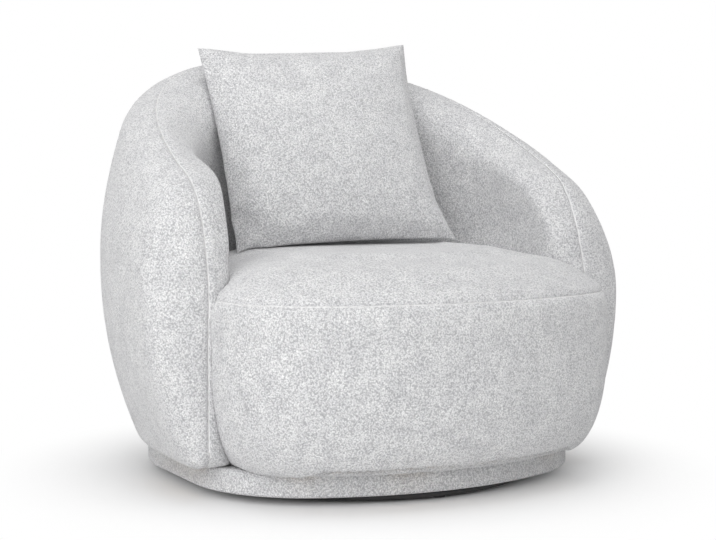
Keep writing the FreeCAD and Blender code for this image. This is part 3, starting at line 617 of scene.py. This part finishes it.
def fibre_mat(name, low, high, fibre):
    """Matted or spun fibre: soft, matt, with short threads running every way."""
    material, tree, shader, place = start_material(name)
    threads = add(tree, "ShaderNodeTexNoise", {"Vector": place, "Scale": 1 / fibre, "Detail": 6.0,
                                               "Distortion": 1.5})
    colour = two_tones(tree, threads.outputs["Fac"], low, high, 0.35, 0.65)
    finish_surface(tree, shader, colour, threads.outputs["Fac"], 0.5, 0.0005, 0.95)
    return material


def zip_tape():
    """Nylon coil zip: pale tape with teeth every 2 mm."""
    material, tree, shader, place = start_material("zip_tape")
    teeth = add(tree, "ShaderNodeTexWave", {"Vector": place, "Scale": 1 / 0.0126},
                bands_direction="X")
    colour = two_tones(tree, teeth.outputs["Fac"], "B9B9B7", "DEDEDC")
    finish_surface(tree, shader, colour, teeth.outputs["Fac"], 0.7, 0.0006, 0.6)
    return material


def dress_nodes():
    """A finish for every CAD node, by the material slot it has in the record."""
    finishes = {
        "black_steel": black_powder_coat(),
        "bearing_steel": turned_metal("ground_bearing_steel", "A9ABAE", "C3C5C8", 0.22),
        "zinc_steel": turned_metal("zinc_plated_steel", "A8ACAF", "C9CCCD", 0.36),
        "brass_cage": turned_metal("pressed_brass", "B08D4A", "C9A55F", 0.34),
        "black_nylon": moulded_nylon(),
        "plywood": birch_plywood(),
        "pine": sawn_pine(),
        "hardboard": pressed_hardboard(),
        "foam": cut_foam(),
        "webbing": woven_webbing(),
        "felt": fibre_mat("needled_felt", "6F6C68", "908C86", 0.004),
        "cambric": fibre_mat("spun_cambric", "1C1C1D", "2C2C2E", 0.003),
        "filling": fibre_mat("hollow_fibre", "E4E3DF", "F7F6F3", 0.006),
        "zip_tape": zip_tape(),
    }
    for sub in frame["record"]["subparts"]:
        slot = sub["material_slot"]
        if slot in finishes:
            node = frame["nodes"][sub["node"]]
            node.data.materials.clear()
            node.data.materials.append(finishes[slot])


# Pieces

def make_shell(fabric):
    """Back and arms: the foam's form under two sewn covers."""
    make_core("shell_foam", "shell_padding")
    form = closed_form("shell_foam", "shell_form", SHELL_VOXEL)
    lay_on(form, "outer_shell_cover", "inner_shell_cover")
    swell_lips(form)
    mark_sides(form, "outer_shell_cover", "inner_shell_cover")
    relief(form, 1)
    outer = cut_cover(form, "outer_shell_fabric", 1)
    inner = cut_cover(form, "inner_shell_fabric", 0)
    bpy.data.objects.remove(form)
    finish_piece(outer, "chair", fabric, "outer_shell_cover")
    finish_piece(inner, "chair", fabric, "inner_shell_cover")


def make_seat(fabric):
    """Seat block: a crowned top panel sewn to a deep band."""
    make_core("seat_foam", "seat_padding", dent_seat)
    form = closed_form("seat_foam", "seat_form", SEAT_VOXEL, seat_underside())
    lay_on(form, "seat_top_cover", "seat_band_cover")
    mark_sides(form, "seat_top_cover", "seat_band_cover")
    dent_seat(form)
    relief(form, 2)
    top = cut_cover(form, "seat_top_fabric", 1)
    band = cut_cover(form, "seat_band_fabric", 0)
    bpy.data.objects.remove(form)
    finish_piece(top, "chair", fabric, "seat_top_cover")
    finish_piece(band, "chair", fabric, "seat_band_cover")
    return top


def make_plinth(fabric):
    """Plinth: fabric drawn over thin padding, turned in above and below."""
    bm = packed_mesh("plinth_cover")
    refine(bm, PLINTH_CELL)
    for vertex in bm.verts:
        level = Vector((vertex.co.x, vertex.co.y, 0)).normalized()
        vertex.co += level * SWAY * noise.noise(vertex.co / SWAY_LENGTH)
        vertex.co += level * DIMPLE * noise.noise(vertex.co / DIMPLE_LENGTH)
    cover = new_object("plinth_fabric", bm)
    smooth(cover)
    finish_piece(cover, "chair", fabric, "plinth_cover")


def drawn_in(u, v, across, upright):
    """A point of the cushion's middle plane, its sides drawn in between the corners."""
    return Vector((u * (CUSHION_HALF - across * (1 - v * v)), 0,
                   v * (CUSHION_HALF - upright * (1 - u * u))))


def cushion_panel(bm, place, tree, side):
    """One face of the cushion as a grid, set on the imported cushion's surface."""
    axis = place.to_3x3() @ Vector((0, side, 0))
    grid = []
    for row in range(CUSHION_CELLS + 1):
        v = 2 * row / CUSHION_CELLS - 1
        line = []
        for column in range(CUSHION_CELLS + 1):
            u = 2 * column / CUSHION_CELLS - 1
            packed = place @ drawn_in(u, v, CUSHION_DRAW, CUSHION_DRAW)
            across = SEAM_DRAWS["left"] if u < 0 else SEAM_DRAWS["right"]
            upright = SEAM_DRAWS["bottom"] if v < 0 else SEAM_DRAWS["top"]
            point = place @ drawn_in(u, v, across, upright)
            if abs(u) < 1 and abs(v) < 1:
                hit = tree.ray_cast(packed + axis * CUSHION_SEARCH, -axis, CUSHION_SEARCH)
                if hit[0] is not None:
                    point = point + (hit[0] - packed) * CUSHION_START
            line.append(bm.verts.new(point))
        grid.append(line)
    for row in range(CUSHION_CELLS):
        for column in range(CUSHION_CELLS):
            corners = [grid[row][column], grid[row][column + 1],
                       grid[row + 1][column + 1], grid[row + 1][column]]
            bm.faces.new(corners if side < 0 else corners[::-1])


def crease(cushion, place):
    """Pulls the corners and presses creases into the front of the filled cushion."""
    inverse = place.inverted()
    inward = place.to_3x3() @ Vector((0, 1, 0))
    for vertex in cushion.data.vertices:
        local = inverse @ vertex.co
        spot = Vector((local.x / CUSHION_HALF, local.z / CUSHION_HALF))
        for u, v, reach, move in CUSHION_CORNERS:
            away = (spot - Vector((u, v))).length / reach
            vertex.co += move * math.exp(-away * away)
        if local.y > FRONT_LIMIT:
            continue
        for u0, v0, u1, v1, depth, width in CUSHION_CREASES:
            start = Vector((u0, v0))
            run = Vector((u1, v1)) - start
            share = min(max((spot - start).dot(run) / run.length_squared, 0.0), 1.0)
            away = (spot - start - run * share).length / width
            vertex.co += inward * depth * math.exp(-away * away) * (1.0 - CREASE_FADE * share)


def settle(cushion, seat):
    """Sinks the cushion onto its lower edge, which spreads flat where the seat presses it."""
    tree = BVHTree.FromObject(seat, bpy.context.evaluated_depsgraph_get())
    down = Vector((0, 0, -1))
    for vertex in cushion.data.vertices:
        point = vertex.co + CUSHION_SETTLE
        hit = tree.ray_cast(point - down * PRESS_ABOVE, down, PRESS_SEARCH)
        if hit[0] is not None:
            height = point.z - hit[0].z
            if height < PRESS_SPAN:
                point.z = hit[0].z + PRESS_SPAN * math.exp(height / PRESS_SPAN - 1)
        vertex.co = point


def make_cushion(fabric, seat):
    """Scatter cushion: two square panels sewn edge to edge and filled."""
    turn = Matrix.Rotation(math.radians(CUSHION_TURN), 4, "Z")
    lean = Matrix.Rotation(math.radians(-CUSHION_LEAN), 4, "X")
    roll = Matrix.Rotation(math.radians(-CUSHION_ROLL), 4, "Y")
    place = Matrix.Translation(CUSHION_PLACE) @ turn @ lean @ roll
    tree = surface_of("cushion_cover")
    bm = bmesh.new()
    cushion_panel(bm, place, tree, -1)
    cushion_panel(bm, place, tree, 1)
    bmesh.ops.remove_doubles(bm, verts=bm.verts, dist=CUSHION_WELD)
    cushion = new_object("cushion_fabric", bm)
    fill_out(cushion)
    crease(cushion, place)
    settle(cushion, seat)
    apply_modifier(cushion, "SUBSURF", levels=1, render_levels=1)
    smooth(cushion)
    finish_piece(cushion, "scatter_cushion", fabric, "cushion_cover", "cushion_filling",
                 fill=CUSHION_FILL)


# Stage

def make_floor():
    """Pale floor that turns white away from the chair, and keeps the chair's shadow."""
    bpy.ops.object.select_all(action="DESELECT")
    bpy.ops.mesh.primitive_plane_add(size=FLOOR_SIZE, location=(0, 0, 0))
    floor = bpy.context.object
    floor.name = "floor"
    material, tree, shader, place = start_material("pale_floor")
    shader.inputs["Base Color"].default_value = shade("F4F4F4")
    shader.inputs["Roughness"].default_value = 0.9
    away = add(tree, "ShaderNodeVectorMath", {0: place}, operation="LENGTH")
    far = add(tree, "ShaderNodeMapRange", {"Value": away.outputs["Value"],
                                           "From Min": FLOOR_NEAR, "From Max": FLOOR_FAR},
              interpolation_type="SMOOTHSTEP")
    part = add(tree, "ShaderNodeMath", {0: seen_directly(tree), 1: far.outputs["Result"]},
               operation="MULTIPLY")
    glow = add(tree, "ShaderNodeEmission", {"Color": (1, 1, 1, 1), "Strength": 1.0})
    mix = add(tree, "ShaderNodeMixShader", {0: part.outputs[0], 1: shader.outputs[0],
                                            2: glow.outputs[0]})
    output = next(node for node in tree.nodes if node.type == "OUTPUT_MATERIAL")
    tree.links.new(mix.outputs[0], output.inputs["Surface"])
    floor.data.materials.append(material)


def make_world():
    """Plain even light from all round, seen as white."""
    world = bpy.data.worlds.new("studio")
    bpy.context.scene.world = world
    world.use_nodes = True
    tree = world.node_tree
    tree.nodes.clear()
    light = add(tree, "ShaderNodeBackground", {"Color": (1, 1, 1, 1), "Strength": WORLD_LIGHT})
    white = add(tree, "ShaderNodeBackground", {"Color": (1, 1, 1, 1), "Strength": 1.0})
    mix = add(tree, "ShaderNodeMixShader", {0: seen_directly(tree), 1: light.outputs[0],
                                            2: white.outputs[0]})
    add(tree, "ShaderNodeOutputWorld", {"Surface": mix.outputs[0]})


def make_lamps():
    """Square area lamps, all aimed at the middle of the chair."""
    for name, (place, size, watts) in LAMPS.items():
        data = bpy.data.lights.new(name, "AREA")
        data.size = size
        data.energy = watts
        lamp = bpy.data.objects.new(name, data)
        lamp.location = place
        lamp.rotation_euler = (AIM - place).to_track_quat("-Z", "Y").to_euler()
        bpy.context.scene.collection.objects.link(lamp)


def make_camera():
    """Camera with the photograph's place, turn and angle of view."""
    data = bpy.data.cameras.new("camera")
    data.sensor_width = SENSOR_WIDTH
    data.lens = FOCAL_PIXELS * SENSOR_WIDTH / PHOTO_WIDTH
    camera = bpy.data.objects.new("camera", data)
    camera.location = CAMERA_PLACE
    camera.rotation_euler = (math.radians(90 + CAMERA_PITCH), 0, math.radians(CAMERA_TURN))
    bpy.context.scene.collection.objects.link(camera)
    bpy.context.scene.camera = camera


make_camera()
make_world()
make_lamps()
make_floor()
dress_nodes()
boucle = looped_boucle()
make_shell(boucle)
seat_top = make_seat(boucle)
make_plinth(boucle)
make_cushion(boucle, seat_top)

bpy.context.scene.view_settings.view_transform = "Standard"
